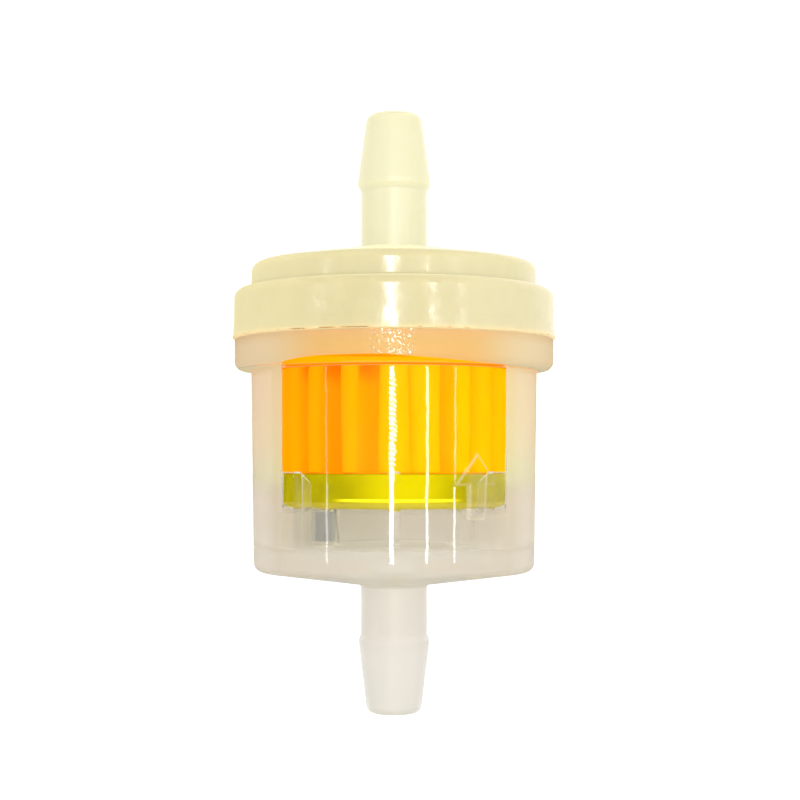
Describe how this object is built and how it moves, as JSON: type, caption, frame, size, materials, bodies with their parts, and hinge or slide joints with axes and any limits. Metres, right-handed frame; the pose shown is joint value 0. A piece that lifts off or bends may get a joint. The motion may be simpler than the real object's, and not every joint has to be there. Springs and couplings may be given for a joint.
{
  "type": "inline fuel filter",
  "caption": "Clear-bodied inline fuel filter: a moulded cup and a welded cap, each with a hose barb, around a pleated paper element.",
  "frame": {"origin": "centre of the inlet barb's end face, on the common axis of both barbs", "axes": "+Z along the fuel flow, from the cup's barb to the cap's barb; -Y is the front; the raised arrow is 33 degrees from the front towards +X"},
  "size_m": [0.0312, 0.0312, 0.058],
  "materials": {
    "cream_nylon": "moulded, translucent, gloss",
    "clear_nylon": "moulded, clear to slightly milky, gloss",
    "filter_paper": "resin-treated pleated paper, satin",
    "yellow_plastic": "moulded, translucent yellow-green, gloss",
    "adhesive": "set adhesive, satin"
  },
  "bodies": {
    "root": {"inlet_cup": "clear_nylon", "outlet_cap": "cream_nylon", "pleated_paper": "filter_paper", "paper_seam": "adhesive", "lower_end_cap": "yellow_plastic", "lower_potting": "adhesive", "upper_end_cap": "yellow_plastic", "upper_potting": "adhesive"}
  },
  "joints": []
}
